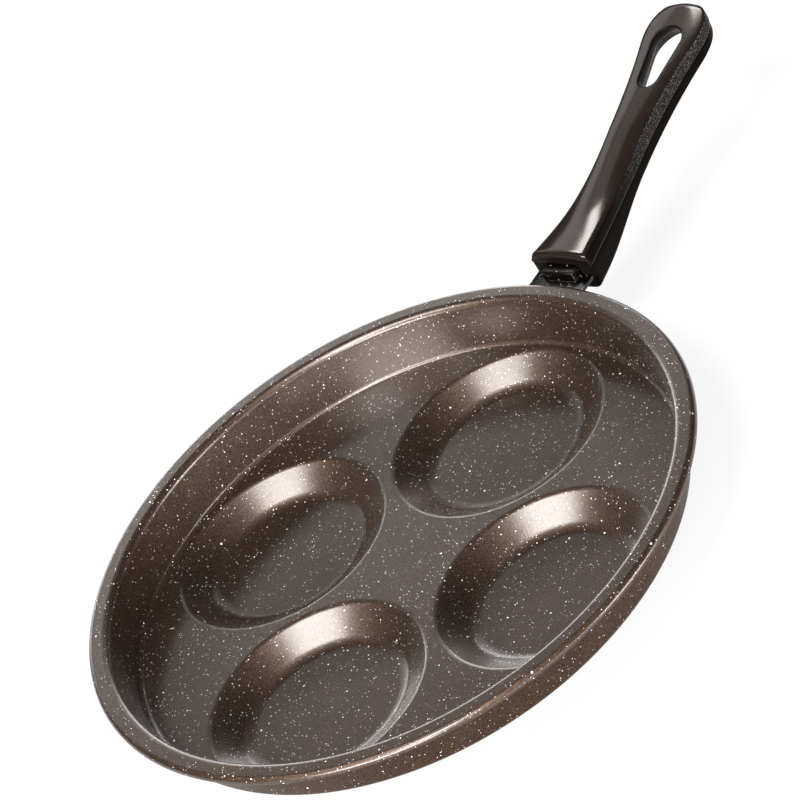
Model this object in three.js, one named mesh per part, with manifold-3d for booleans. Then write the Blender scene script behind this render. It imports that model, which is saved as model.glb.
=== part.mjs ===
// A four-cup pancake pan with a fixed two-shell handle, in millimetres, +Z up.
// The origin is under the middle of the whole length, on the plane that the four cups stand on.
// +X runs from the pan out along the handle.
import * as THREE from 'three';
import { mergeVertices } from 'three/addons/utils/BufferGeometryUtils.js';
import Module from 'manifold-3d';

const wasm = await Module();
wasm.setup();

// Pressed pan
const panSheet = 1;
const rimRadius = 130;
const flangeWidth = 9;
const lipDrop = 2.6;
const wallDepth = 21.8;
const wallDraft = 3;
const rimRound = 2.2;
const floorRound = 2;

// Cups pressed into the pan's floor
const cupCount = 4;
const cupDepth = 9;
const cupWallRun = 10.4;
const cupMargin = 3.4;
const cupWeb = 5.4;
const cupEdgeRound = 3;
const cupFloorRound = 6;

// Welded bracket
const bracketSheet = 1.5;
const footHeight = 13;
const weldGap = 0.3;
const plateGap = 0.9;
const plateInset = 2;
const noseReach = 5;
const noseRound = 1.1;
const tongueLength = 32;

// Handle outline
const handleStandOff = 10;
const handleLength = 128;
const frontHalfWidth = 16.2;
const waistHalfWidth = 9.4;
const palmHalfWidth = 16.7;
const waistFromFront = 60;
const palmFromTip = 11;
const tipRound = 21;
const partingRise = 1.1;
const riseStart = 13;
const riseRun = 47;
const riseSlope = 0.24;

// Handle shells
const topHeightFront = 4.4;
const topHeightGrip = 7.2;
const topHeightTip = 5;
const humpStart = 20;
const humpRun = 50;
const fallStart = 66;
const fallRun = 70;
const frontDepth = 12;
const gripDepth = 6;
const swellStart = 8;
const swellRun = 24;
const shellStep = 0.5;
const shellWall = 2;
const faceGap = 0.1;
const cornerRound = 1.5;
const topRound = 2.2;
const tipDrop = 3.6;
const lowTipRound = 1.4;
const fitGap = 0.3;

// Hang slot through the handle's end
const slotFromTip = 11.8;
const slotLength = 30.5;
const slotFrontRadius = 4.7;
const slotTipRadius = 7;
const slotStraight = 2.6;
const flareSize = 6;

// Fasteners
const screwRadius = 2;
const headRadius = 3.7;
const headHeight = 2.4;
const recessWidth = 1.1;
const recessDepth = 1.4;
const washerRim = 0.4;
const washerThickness = 0.8;
const insertWall = 1.2;
const insertSkin = 1.3;
const frontBoss = 3.9;
const rearBoss = 1.9;
const screwFromTongueEnd = 14;

// Fineness of round shapes
const panSegments = 72;
const cupSegments = 40;
const screwSegments = 24;
const handleSteps = 34;
const arcSteps = 3;
const overcut = 20;

// Worked out from the sizes above, from the standing plane up and from the pan's axis outward
const floorTop = panSheet + cupDepth;
const rimTop = floorTop + wallDepth;
const wallTopRadius = rimRadius - flangeWidth;
const floorRadius = wallTopRadius - wallDraft;
const cupSine = Math.sin(Math.PI / cupCount);
const cupTopRadius = ((floorRadius - cupMargin) * cupSine - cupWeb / 2) / (1 + cupSine);
const cupBottomRadius = cupTopRadius - cupWallRun;
const cupPitch = floorRadius - cupMargin - cupTopRadius;
const cupEdgeReach = cupEdgeRound * Math.tan(Math.atan2(cupDepth, cupWallRun) / 2);
const handleFront = rimRadius + handleStandOff;
const handleTip = handleFront + handleLength;
const partingFront = rimTop + partingRise;
const plateTop = rimTop - lipDrop - plateGap;
const plateBottom = plateTop - bracketSheet;
const noseTop = partingFront - fitGap;
const noseFront = handleFront - noseReach;
const tongueEnd = handleFront + tongueLength;
const slotEnd = handleTip - slotFromTip;
const slotStart = slotEnd - slotLength;
const rearScrewX = (tongueEnd + slotStart) / 2;
const frontScrewX = tongueEnd - screwFromTongueEnd;
const washerRadius = headRadius + washerRim;
const insertRadius = screwRadius + fitGap + insertWall;

// Materials
function surface(color, roughness, metalness) {
  return new THREE.MeshStandardMaterial({ color, roughness, metalness });
}
const speckledCoating = () => surface('#685d57', 0.42, 0.2);
const darkResin = () => surface('#2b2624', 0.3, 0);
const zincSteel = () => surface('#b6b8ba', 0.35, 0.9);
const brass = () => surface('#b7934c', 0.35, 0.9);

// Solids and meshes
function solid(geometry) {
  const bare = geometry.index ? geometry.toNonIndexed() : geometry.clone();
  bare.deleteAttribute('normal');
  bare.deleteAttribute('uv');
  const merged = mergeVertices(bare, 1e-4);
  const vertProperties = new Float32Array(merged.getAttribute('position').array);
  const triVerts = new Uint32Array(withoutSlivers(merged.index.array));
  return new wasm.Manifold(new wasm.Mesh({ numProp: 3, vertProperties, triVerts }));
}

function withoutSlivers(index) {
  const kept = [];
  for (let i = 0; i < index.length; i += 3) {
    const [a, b, c] = [index[i], index[i + 1], index[i + 2]];
    if (a !== b && b !== c && c !== a) kept.push(a, b, c);
  }
  return kept;
}

function mesh(name, shape, material) {
  const { vertProperties, triVerts } = shape.getMesh();
  const geometry = new THREE.BufferGeometry();
  geometry.setAttribute('position', new THREE.BufferAttribute(new Float32Array(vertProperties), 3));
  geometry.setIndex(new THREE.BufferAttribute(new Uint32Array(triVerts), 1));
  geometry.computeVertexNormals();
  const piece = new THREE.Mesh(geometry, material);
  piece.name = name;
  return piece;
}

// A corner of a profile is [radius, height, rounding]; the rounding is left out at a sharp corner
function roundedProfile(corners) {
  const points = corners.map(([r, z]) => new THREE.Vector2(r, z));
  return corners.flatMap(([, , rounding], i) => {
    if (!rounding) return [points[i]];
    const back = points[i - 1].clone().sub(points[i]).normalize();
    const ahead = points[i + 1].clone().sub(points[i]).normalize();
    const reach = rounding / Math.tan(Math.acos(back.dot(ahead)) / 2);
    const from = points[i].clone().addScaledVector(back, reach);
    const to = points[i].clone().addScaledVector(ahead, reach);
    return new THREE.QuadraticBezierCurve(from, points[i], to).getPoints(arcSteps);
  });
}

function turned(corners, segments) {
  return solid(new THREE.LatheGeometry(roundedProfile(corners), segments).rotateX(Math.PI / 2));
}

function tube(outerRadius, innerRadius, bottom, top, segments) {
  const ring = [[innerRadius, bottom], [outerRadius, bottom], [outerRadius, top], [innerRadius, top]];
  return turned([...ring, ring[0]], segments);
}

function rod(radius, bottom, top, segments) {
  return turned([[0, bottom], [radius, bottom], [radius, top], [0, top]], segments);
}

function block(xFrom, xTo, halfWidth, zFrom, zTo) {
  const box = new THREE.BoxGeometry(xTo - xFrom, 2 * halfWidth, zTo - zFrom);
  return solid(box.translate((xFrom + xTo) / 2, 0, (zFrom + zTo) / 2));
}

// Pan: floor, drafted wall, flat flange and turned-down lip in one sheet, with the cups pressed below
function panWall(offset) {
  const lean = wallDraft / wallDepth;
  const across = offset * Math.hypot(1, lean);
  return (z) => floorRadius + lean * (z - floorTop) + across;
}

function panShell() {
  const inside = panWall(0);
  const outside = panWall(panSheet);
  const under = rimTop - panSheet;
  const lipBottom = rimTop - lipDrop;
  return turned([
    [0, floorTop - panSheet],
    [outside(floorTop - panSheet), floorTop - panSheet, floorRound + panSheet],
    [outside(under), under, rimRound - panSheet],
    [rimRadius - panSheet, under, rimRound - panSheet],
    [rimRadius - panSheet, lipBottom],
    [rimRadius, lipBottom],
    [rimRadius, rimTop, rimRound],
    [inside(rimTop), rimTop, rimRound],
    [inside(floorTop), floorTop, floorRound],
    [0, floorTop],
  ], panSegments);
}

function cupOutside() {
  const lean = cupWallRun / cupDepth;
  const across = panSheet * Math.hypot(1, lean);
  const radiusAt = (z) => cupBottomRadius + lean * (z - panSheet) + across;
  const midSheet = floorTop - panSheet / 2;
  return turned([
    [0, 0],
    [radiusAt(0), 0, cupFloorRound + panSheet],
    [radiusAt(midSheet), midSheet],
    [0, midSheet],
  ], cupSegments);
}

function cupInside() {
  return turned([
    [0, panSheet],
    [cupBottomRadius, panSheet, cupFloorRound],
    [cupTopRadius, floorTop, cupEdgeRound],
    [cupTopRadius + 1.05 * cupEdgeReach, floorTop],
    [cupTopRadius + 1.05 * cupEdgeReach, floorTop + panSheet],
    [0, floorTop + panSheet],
  ], cupSegments);
}

function panBody() {
  let shape = panShell();
  for (let i = 0; i < cupCount; i += 1) {
    const angle = (2 * Math.PI * i) / cupCount;
    const place = [cupPitch * Math.cos(angle), cupPitch * Math.sin(angle), 0];
    shape = shape.add(cupOutside().translate(place)).subtract(cupInside().translate(place));
  }
  return mesh('pan_body', shape, speckledCoating());
}

// Handle curves along x, measured from the pan's axis
function smooth(t) {
  const k = Math.min(1, Math.max(0, t));
  return k * k * (3 - 2 * k);
}

function edgeDrop(distance, radius) {
  const inward = Math.max(0, radius - distance);
  return radius - Math.sqrt(radius * radius - Math.min(inward, radius) ** 2);
}

function stationAt(share) {
  return handleFront + handleLength * (1 - Math.cos(Math.PI * share)) / 2;
}

function partingAt(x) {
  const run = Math.max(0, x - handleFront - riseStart);
  const bend = Math.min(run, riseRun);
  return partingFront + riseSlope * (bend * bend / (2 * riseRun) + run - bend);
}

function partingSlopeAt(x) {
  const run = Math.max(0, x - handleFront - riseStart);
  return riseSlope * Math.min(run, riseRun) / riseRun;
}

function halfWidthAt(x) {
  const along = x - handleFront;
  const frontward = Math.max(0, 1 - along / waistFromFront);
  const palmward = Math.max(0, (along - waistFromFront) / (handleLength - palmFromTip - waistFromFront));
  const width = waistHalfWidth
    + (frontHalfWidth - waistHalfWidth) * frontward ** 2
    + (palmHalfWidth - waistHalfWidth) * palmward ** 2;
  const tipBlunt = 1.02;
  const tipShare = Math.max(0, 1 - (handleTip - x) / tipRound) / tipBlunt;
  return width * Math.sqrt(1 - tipShare ** 2);
}

function topHeightAt(x) {
  const along = x - handleFront;
  const rise = (topHeightGrip - topHeightFront) * smooth((along - humpStart) / humpRun);
  const fall = (topHeightGrip - topHeightTip) * smooth((along - fallStart) / fallRun);
  return topHeightFront + rise - fall;
}

function depthAt(x) {
  const swell = smooth((x - handleFront - swellStart) / (tongueLength + swellRun - swellStart));
  return frontDepth + (gripDepth - frontDepth) * swell;
}

// A shell is a section drawn in shares of its width and height, drawn out along the handle
function shell(section, place) {
  const blank = new THREE.ExtrudeGeometry(section, {
    depth: 1, steps: handleSteps, bevelEnabled: false, curveSegments: arcSteps,
  });
  const at = blank.getAttribute('position');
  for (let i = 0; i < at.count; i += 1) {
    at.setXYZ(i, ...place(at.getX(i), at.getY(i), at.getZ(i)));
  }
  return solid(blank);
}

function topSection() {
  const lean = 0.02;
  const inset = 0.03;
  const turnIn = 0.16;
  const turnUp = 0.8;
  const crown = 0.04;
  const section = new THREE.Shape();
  section.moveTo(-1, 0);
  section.lineTo(1, 0);
  section.lineTo(1 - lean, turnUp);
  section.quadraticCurveTo(1 - inset, 1, 1 - turnIn, 1);
  section.quadraticCurveTo(0, 1 + crown, turnIn - 1, 1);
  section.quadraticCurveTo(inset - 1, 1, lean - 1, turnUp);
  section.closePath();
  return section;
}

function bottomSection() {
  const lean = 0.03;
  const turnIn = 0.2;
  const turnUp = 0.72;
  const section = new THREE.Shape();
  section.moveTo(1, 0);
  section.lineTo(-1, 0);
  section.lineTo(lean - 1, -turnUp);
  section.quadraticCurveTo(lean - 1, -1, turnIn - 1, -1);
  section.lineTo(1 - turnIn, -1);
  section.quadraticCurveTo(1 - lean, -1, 1 - lean, -turnUp);
  section.closePath();
  return section;
}

function topBlank() {
  return shell(topSection(), (across, up, share) => {
    const x = stationAt(share);
    const width = halfWidthAt(x) - edgeDrop(x - handleFront, cornerRound);
    const drop = edgeDrop(x - handleFront, topRound) + edgeDrop(handleTip - x, tipDrop);
    return [x, across * width, partingAt(x) + faceGap / 2 + up * (topHeightAt(x) - drop)];
  });
}

function bottomBlank() {
  return shell(bottomSection(), (across, up, share) => {
    const x = stationAt(share);
    const width = halfWidthAt(x) - shellStep - edgeDrop(x - handleFront, cornerRound);
    const drop = edgeDrop(handleTip - x, lowTipRound);
    return [x, across * width, partingAt(x) - faceGap / 2 + up * (depthAt(x) - drop)];
  });
}

// Hang slot: straight through the top shell, flaring out below to a wide mouth underneath
function slotShape() {
  const middle = (slotStart + slotEnd) / 2;
  const front = slotStart + slotFrontRadius - middle;
  const tip = slotEnd - slotTipRadius - middle;
  const tangent = Math.asin((slotTipRadius - slotFrontRadius) / (tip - front));
  const quarter = Math.PI / 2;
  const outline = new THREE.Shape();
  outline.absarc(front, 0, slotFrontRadius, quarter + tangent, 3 * quarter - tangent);
  outline.absarc(tip, 0, slotTipRadius, -quarter - tangent, quarter + tangent);
  outline.closePath();
  return outline;
}

function hangSlot() {
  const middle = (slotStart + slotEnd) / 2;
  const narrowZ = topHeightAt(middle) - slotStraight;
  const flareHeight = narrowZ + gripDepth;
  const straight = new THREE.ExtrudeGeometry(slotShape(), {
    depth: overcut, bevelEnabled: false, curveSegments: 3 * arcSteps,
  }).translate(0, 0, narrowZ - fitGap);
  const flare = new THREE.ExtrudeGeometry(slotShape(), {
    depth: overcut, bevelThickness: flareHeight, bevelSize: flareSize, bevelSegments: 1,
    curveSegments: 3 * arcSteps,
  }).translate(0, 0, -gripDepth - overcut);
  const lean = Math.atan(partingSlopeAt(middle));
  const place = (geometry) => solid(geometry.rotateY(-lean).translate(middle, 0, partingAt(middle)));
  return place(straight).add(place(flare));
}

// Bracket: foot on the pan's wall, plate under the rim, raised nose that runs into the handle
const tongueHalfWidth = halfWidthAt(tongueEnd) - shellStep - shellWall - fitGap;
const plateHalfWidth = frontHalfWidth - plateInset;

function noseBlank(inset, end, bottom) {
  const outline = new THREE.Shape();
  const front = noseFront + inset;
  const top = noseTop - inset;
  outline.moveTo(front, bottom);
  outline.lineTo(end, bottom);
  outline.lineTo(end, top);
  outline.lineTo(front + noseRound, top);
  outline.quadraticCurveTo(front, top, front, top - noseRound);
  outline.closePath();
  const halfWidth = tongueHalfWidth - inset;
  const blank = new THREE.ExtrudeGeometry(outline, {
    depth: 2 * halfWidth, bevelEnabled: false, curveSegments: arcSteps,
  });
  return solid(blank.rotateX(Math.PI / 2).translate(0, halfWidth, 0));
}

function handleBracket() {
  const outside = panWall(panSheet + weldGap);
  const footBack = panWall(panSheet + weldGap + bracketSheet);
  const footBottom = plateTop - footHeight;
  const ring = [
    [outside(footBottom), footBottom], [footBack(footBottom), footBottom],
    [footBack(plateTop), plateTop], [outside(plateTop), plateTop],
  ];
  const strip = block(0, handleFront, plateHalfWidth, footBottom - overcut, rimTop);
  const foot = turned([...ring, ring[0]], panSegments).intersect(strip);
  const hole = turned([
    [0, footBottom], [outside(footBottom), footBottom], [outside(rimTop), rimTop], [0, rimTop],
  ], panSegments);
  const plate = block(floorRadius, handleFront - fitGap, plateHalfWidth, plateBottom, plateTop);
  const hollow = noseBlank(bracketSheet, tongueEnd + overcut, plateBottom - overcut);
  const screwHole = rod(screwRadius + fitGap, plateBottom, noseTop + overcut, screwSegments);
  const shape = plate.subtract(hole).add(foot)
    .add(noseBlank(0, tongueEnd, plateBottom))
    .subtract(hollow)
    .subtract(screwHole.translate([frontScrewX, 0, 0]));
  return mesh('handle_bracket', shape, speckledCoating());
}

// Fastener places, each in its own tilted frame on the parting line
const rearLean = Math.atan(partingSlopeAt(rearScrewX));
const frontSeat = noseTop - bracketSheet - fitGap - frontBoss - partingAt(frontScrewX);
const fasteners = [
  { name: 'front', x: frontScrewX, lean: 0, seat: frontSeat },
  { name: 'rear', x: rearScrewX, lean: rearLean, seat: -rearBoss },
].map((place) => ({ ...place, insertTop: topHeightAt(place.x) - insertSkin }));

function onPartingLine(shape, { x, lean }) {
  return shape.rotate([0, -lean * 180 / Math.PI, 0]).translate([x, 0, partingAt(x)]);
}

function screwWell(fastener) {
  const counterbore = rod(washerRadius + fitGap, fastener.seat - overcut, fastener.seat, screwSegments);
  const bore = rod(screwRadius + fitGap, fastener.seat - fitGap, overcut, screwSegments);
  return onPartingLine(counterbore.add(bore), fastener);
}

function insertWell(fastener) {
  const well = rod(insertRadius + fitGap, -overcut, fastener.insertTop + fitGap, screwSegments);
  return onPartingLine(well, fastener);
}

function handleTopShell() {
  let shape = topBlank().subtract(hangSlot());
  for (const fastener of fasteners) shape = shape.subtract(insertWell(fastener));
  return mesh('handle_top_shell', shape, darkResin());
}

function handleBottomShell() {
  const pocket = block(
    handleFront - overcut, tongueEnd + fitGap, tongueHalfWidth + fitGap,
    plateBottom - fitGap, rimTop + overcut,
  );
  const rib = block(
    handleFront - overcut, tongueEnd + overcut, tongueHalfWidth - bracketSheet - fitGap,
    plateBottom - overcut, noseTop - bracketSheet - fitGap,
  );
  let shape = bottomBlank().subtract(hangSlot()).subtract(pocket.subtract(rib));
  for (const fastener of fasteners) shape = shape.subtract(screwWell(fastener));
  return mesh('handle_bottom_shell', shape, darkResin());
}

function fastenerGroup(fastener) {
  const washerTop = fastener.seat - faceGap;
  const headTop = washerTop - washerThickness - faceGap;
  const headBottom = headTop - headHeight;
  const shank = rod(screwRadius, headTop, fastener.insertTop - fitGap, screwSegments);
  const head = turned([
    [0, headBottom], [headRadius, headBottom, headHeight / 3], [headRadius, headTop], [0, headTop],
  ], screwSegments);
  const bar = (long, wide) => solid(
    new THREE.BoxGeometry(long, wide, 2 * recessDepth).translate(0, 0, headBottom),
  );
  const cross = bar(headRadius, recessWidth).add(bar(recessWidth, headRadius));
  const washer = tube(washerRadius, screwRadius + fitGap, headTop + faceGap, washerTop, screwSegments);
  const insert = tube(insertRadius, screwRadius + fitGap, fitGap, fastener.insertTop, screwSegments);
  const group = new THREE.Group();
  group.position.set(fastener.x, 0, partingAt(fastener.x));
  group.rotation.y = -fastener.lean;
  group.add(
    mesh(`${fastener.name}_screw`, shank.add(head).subtract(cross), zincSteel()),
    mesh(`${fastener.name}_washer`, washer, zincSteel()),
    mesh(`${fastener.name}_insert`, insert, brass()),
  );
  return group;
}

// Assembly
const handle = new THREE.Group();
handle.add(handleTopShell(), handleBottomShell(), ...fasteners.map(fastenerGroup));

const pancakePan = new THREE.Group();
pancakePan.add(panBody(), handleBracket(), handle);
pancakePan.position.x = -(handleTip - rimRadius) / 2;

export default pancakePan;
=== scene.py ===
import math

import bmesh
import bpy
from mathutils import Matrix, Vector
from mathutils.geometry import delaunay_2d_cdt


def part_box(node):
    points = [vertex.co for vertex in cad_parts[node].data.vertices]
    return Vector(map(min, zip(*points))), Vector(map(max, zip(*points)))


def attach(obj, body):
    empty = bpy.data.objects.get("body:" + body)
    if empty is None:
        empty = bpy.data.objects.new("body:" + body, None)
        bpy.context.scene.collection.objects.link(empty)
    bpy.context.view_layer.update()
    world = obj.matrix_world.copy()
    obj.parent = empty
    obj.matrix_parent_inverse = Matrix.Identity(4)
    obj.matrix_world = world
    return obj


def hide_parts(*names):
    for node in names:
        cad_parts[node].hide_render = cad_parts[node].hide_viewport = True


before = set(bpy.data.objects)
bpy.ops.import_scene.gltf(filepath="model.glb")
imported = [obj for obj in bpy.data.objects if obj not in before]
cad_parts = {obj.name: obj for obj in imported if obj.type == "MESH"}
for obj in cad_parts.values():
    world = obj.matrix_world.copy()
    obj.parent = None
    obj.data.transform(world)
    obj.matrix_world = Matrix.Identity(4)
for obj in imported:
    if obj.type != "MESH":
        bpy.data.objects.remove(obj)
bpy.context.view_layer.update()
mm = 0.001  # the pieces' sizes are in millimetres, with X from the pan's axis
weld = 0.001 * mm  # points closer than this are one point
panLow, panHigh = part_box("pan_body")
panAxis = (panLow.x + panHigh.x) / 2  # where the pan's axis stands along X
print("frame loaded:", len(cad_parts), "nodes, pan axis at", round(panAxis, 4))


def linear(hexValue):
    channels = [int(hexValue[i:i + 2], 16) / 255 for i in (1, 3, 5)]
    return [c / 12.92 if c <= 0.04045 else ((c + 0.055) / 1.055) ** 2.4 for c in channels] + [1.0]


def addNode(tree, kind, inputs=None, **settings):
    node = tree.nodes.new(kind)
    for key, value in settings.items():
        setattr(node, key, value)
    for key, value in (inputs or {}).items():
        if isinstance(value, bpy.types.NodeSocket):
            tree.links.new(value, node.inputs[key])
        else:
            node.inputs[key].default_value = value
    return node


def newMaterial(name):
    material = bpy.data.materials.new(name)
    material.use_nodes = True
    material.node_tree.nodes.clear()
    return material, material.node_tree


def perMm(size):
    return 1 / (size * mm)  # texture scale at which one cell is that many millimetres


def cloudedColour(tree, place, look):
    # two colours that drift into each other in soft clouds
    cloud = addNode(tree, "ShaderNodeTexNoise", {
        "Vector": place, "Scale": perMm(look["cloud"]), "Detail": look["cloudDetail"],
    }).outputs["Fac"]
    colour = addNode(tree, "ShaderNodeMix", {
        0: cloud, 6: linear(look["deep"]), 7: linear(look["pale"]),
    }, data_type="RGBA").outputs[2]
    return cloud, colour


# Sprayed non-stick coating on pressed steel: a smooth clear top layer that mirrors the lights, over a rough
# bronze-brown metallic layer that glitters round them, with cream flecks of many sizes. Outside it is duller
# and more golden. The bracket's copy is much darker: painted shade for the handle's shadow over it. Real
# flakes and grain are too fine to show, so they are drawn as coarse as they need to be
coatingLooks = {
    "speckledNonStickCoating": dict(
        deep="#3f2f25", pale="#514034", roughness=0.55, coatRoughness=0.25, coatIor=1.6,
    ),
    "speckledOuterCoating": dict(
        deep="#403024", pale="#534031", roughness=0.6, coatRoughness=0.35, coatIor=1.15,
    ),
    # painted shade: a much darker copy of the speckled coating for the bracket, standing for the handle's
    # shade over it
    "shadedBracketSpeckledCoating": dict(
        deep="#100c0a", pale="#1a1411", roughness=0.5, coatRoughness=0.25, coatIor=1.3,
    ),
}
coatingSpray = dict(
    cloud=14.0, cloudDetail=3.0, flake=0.55, flakeLow=0.35, flakeHigh=0.65, flakeDark=0.55, flakeLight=1.5,
    flakeDetail=1.0, grain=0.6, grainDetail=1.0, grainDepth=0.03,
    fleck="#fffaf2", darkFleck="#0f0b09", fleckEdge=0.75,
    # cell, least and most radius in millimetres, and the share of cells with a fleck in them
    fleckLayers=((1.2, 0.11, 0.21, 0.50), (2.2, 0.18, 0.32, 0.40), (4.6, 0.26, 0.52, 0.32)),
    darkLayer=(9.0, 0.12, 0.5, 0.14),
)


def makeCoating(name):
    look = {**coatingSpray, **coatingLooks[name]}
    material, tree = newMaterial(name)
    place = addNode(tree, "ShaderNodeTexCoord").outputs["Object"]
    colour = cloudedColour(tree, place, look)[1]
    flakes = addNode(tree, "ShaderNodeTexNoise", {
        "Vector": place, "Scale": perMm(look["flake"]), "Detail": look["flakeDetail"],
    }).outputs["Fac"]
    glitter = addNode(tree, "ShaderNodeMapRange", {
        "Value": flakes, "From Min": look["flakeLow"], "From Max": look["flakeHigh"],
        "To Min": look["flakeDark"], "To Max": look["flakeLight"],
    }).outputs["Result"]
    colour = addNode(tree, "ShaderNodeMix", {
        0: 1.0, 6: colour, 7: glitter,
    }, data_type="RGBA", blend_type="MULTIPLY").outputs[2]
    metal = 1.0
    layers = [(*layer, look["fleck"]) for layer in look["fleckLayers"]]
    layers.append((*look["darkLayer"], look["darkFleck"]))
    for cell, least, most, share, tint in layers:
        spots = addNode(tree, "ShaderNodeTexVoronoi", {"Vector": place, "Scale": perMm(cell)}).outputs
        dice = addNode(tree, "ShaderNodeSeparateColor", {"Color": spots["Color"]}).outputs
        radius = addNode(tree, "ShaderNodeMapRange", {
            "Value": dice["Red"], "To Min": least / cell, "To Max": most / cell,
        }).outputs["Result"]
        kept = addNode(tree, "ShaderNodeMath", {0: dice["Green"], 1: share}, operation="LESS_THAN").outputs[0]
        reach = addNode(tree, "ShaderNodeMath", {
            0: spots["Distance"], 1: radius,
        }, operation="DIVIDE").outputs[0]
        edge = addNode(tree, "ShaderNodeMapRange", {
            "Value": reach, "From Min": 1.0, "From Max": look["fleckEdge"],
        }).outputs["Result"]
        mask = addNode(tree, "ShaderNodeMath", {0: edge, 1: kept}, operation="MULTIPLY").outputs[0]
        colour = addNode(tree, "ShaderNodeMix", {
            0: mask, 6: colour, 7: linear(tint),
        }, data_type="RGBA").outputs[2]
        bare = addNode(tree, "ShaderNodeMath", {0: 1.0, 1: mask}, operation="SUBTRACT").outputs[0]
        metal = addNode(tree, "ShaderNodeMath", {0: metal, 1: bare}, operation="MULTIPLY").outputs[0]
    grain = addNode(tree, "ShaderNodeTexNoise", {
        "Vector": place, "Scale": perMm(look["grain"]), "Detail": look["grainDetail"],
    }).outputs["Fac"]
    bump = addNode(tree, "ShaderNodeBump", {
        "Strength": 1.0, "Distance": look["grainDepth"] * mm, "Height": grain,
    }).outputs["Normal"]
    surface = addNode(tree, "ShaderNodeBsdfPrincipled", {
        "Base Color": colour, "Metallic": metal, "Roughness": look["roughness"], "Normal": bump,
        "Coat Weight": 1.0, "Coat Roughness": look["coatRoughness"], "Coat IOR": look["coatIor"],
        "Coat Normal": bump,
    }).outputs[0]
    addNode(tree, "ShaderNodeOutputMaterial", {"Surface": surface})
    return material


# Moulded phenolic resin: black-brown, polished on the top face with a faint ripple in the gloss, dull on the
# lower shell, and with a sanded grain on the sides, where the mesh marks it, over which light grey specks are
# painted into the colour as glints. The grain is drawn as coarse as it needs to show
resinLooks = {
    "polishedResin": dict(deep="#1c1512", pale="#271e19", depth=0.006, roughness=0.14, gloss=0.5),
    "sandedResin": dict(deep="#100c0a", pale="#171210", depth=0.012, roughness=0.36, gloss=0.06),
    "dullResin": dict(deep="#120e0c", pale="#1a1512", depth=0.012, roughness=0.42, gloss=0.02),
}
resinGrain = dict(
    cloud=9.0, cloudDetail=4.0, ripple=1.6, rippleDetail=3.0, grain=0.4, grainDetail=2.0, grainDepth=0.05,
    # the light grey here is the colour of the painted glints, mixed in where the grain is high
    paintedGlint="#a39b99", least=0.5, most=0.76, smoothest=0.7, roughest=1.3, ior=1.5, tint="#fff3ec",
)


def makeResin(name):
    look = {**resinGrain, **resinLooks[name]}
    material, tree = newMaterial(name)
    place = addNode(tree, "ShaderNodeTexCoord").outputs["Object"]
    colour = cloudedColour(tree, place, look)[1]
    ripple = addNode(tree, "ShaderNodeTexNoise", {
        "Vector": place, "Scale": perMm(look["ripple"]), "Detail": look["rippleDetail"],
    }).outputs["Fac"]
    bump = addNode(tree, "ShaderNodeBump", {
        "Strength": 1.0, "Distance": look["depth"] * mm, "Height": ripple,
    }).outputs["Normal"]
    sandGrainAndGlint = addNode(tree, "ShaderNodeAttribute", attribute_name="sandGrainAndGlint").outputs["Fac"]
    grain = addNode(tree, "ShaderNodeTexNoise", {
        "Vector": place, "Scale": perMm(look["grain"]), "Detail": look["grainDetail"],
    }).outputs["Fac"]
    height = addNode(tree, "ShaderNodeMath", {0: grain, 1: sandGrainAndGlint}, operation="MULTIPLY").outputs[0]
    bump = addNode(tree, "ShaderNodeBump", {
        "Strength": 1.0, "Distance": look["grainDepth"] * mm, "Height": height, "Normal": bump,
    }).outputs["Normal"]
    # painted glints: the light grey goes into the colour where the grain is high, as far as the mark on the
    # sides allows
    glint = addNode(tree, "ShaderNodeMapRange", {
        "Value": grain, "From Min": look["least"], "From Max": look["most"], "To Max": sandGrainAndGlint,
    }).outputs["Result"]
    colour = addNode(tree, "ShaderNodeMix", {
        0: glint, 6: colour, 7: linear(look["paintedGlint"]),
    }, data_type="RGBA").outputs[2]
    roughness = addNode(tree, "ShaderNodeMapRange", {
        "Value": grain, "To Min": look["roughness"] * look["smoothest"],
        "To Max": look["roughness"] * look["roughest"],
    }).outputs["Result"]
    surface = addNode(tree, "ShaderNodeBsdfPrincipled", {
        "Base Color": colour, "Roughness": roughness, "IOR": look["ior"], "Specular IOR Level": look["gloss"],
        "Specular Tint": linear(look["tint"]), "Normal": bump,
    }).outputs[0]
    addNode(tree, "ShaderNodeOutputMaterial", {"Surface": surface})
    return material


# Zinc-plated steel, turned brass, and steel where the coating is worn off an edge: bare metal with a
# cloudy shine
metalLooks = {
    "zincPlatedSteel": dict(deep="#9b9da0", pale="#c3c6c9", cloud=1.4, roughness=0.34),
    "bareSteelEdge": dict(deep="#8b8784", pale="#b9b4b0", cloud=1.8, roughness=0.38),
    "turnedBrass": dict(deep="#a98340", pale="#cfa95f", cloud=0.9, roughness=0.28),
}
metalShine = dict(cloudDetail=3.0, smoothest=0.8, roughest=1.3)


def makeMetal(name):
    look = {**metalShine, **metalLooks[name]}
    material, tree = newMaterial(name)
    place = addNode(tree, "ShaderNodeTexCoord").outputs["Object"]
    cloud, colour = cloudedColour(tree, place, look)
    roughness = addNode(tree, "ShaderNodeMapRange", {
        "Value": cloud, "To Min": look["roughness"] * look["smoothest"],
        "To Max": look["roughness"] * look["roughest"],
    }).outputs["Result"]
    surface = addNode(tree, "ShaderNodeBsdfPrincipled", {
        "Base Color": colour, "Metallic": 1.0, "Roughness": roughness,
    }).outputs[0]
    addNode(tree, "ShaderNodeOutputMaterial", {"Surface": surface})
    return material


coating = makeCoating("speckledNonStickCoating")
outerCoating = makeCoating("speckledOuterCoating")
# the bracket's coating: the darker copy that paints the handle's shade on it
shadedBracketCoating = makeCoating("shadedBracketSpeckledCoating")
polishedResin = makeResin("polishedResin")
sandedResin = makeResin("sandedResin")
dullResin = makeResin("dullResin")
zincSteel = makeMetal("zincPlatedSteel")
bareSteel = makeMetal("bareSteelEdge")
brass = makeMetal("turnedBrass")
print("materials made")


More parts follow.
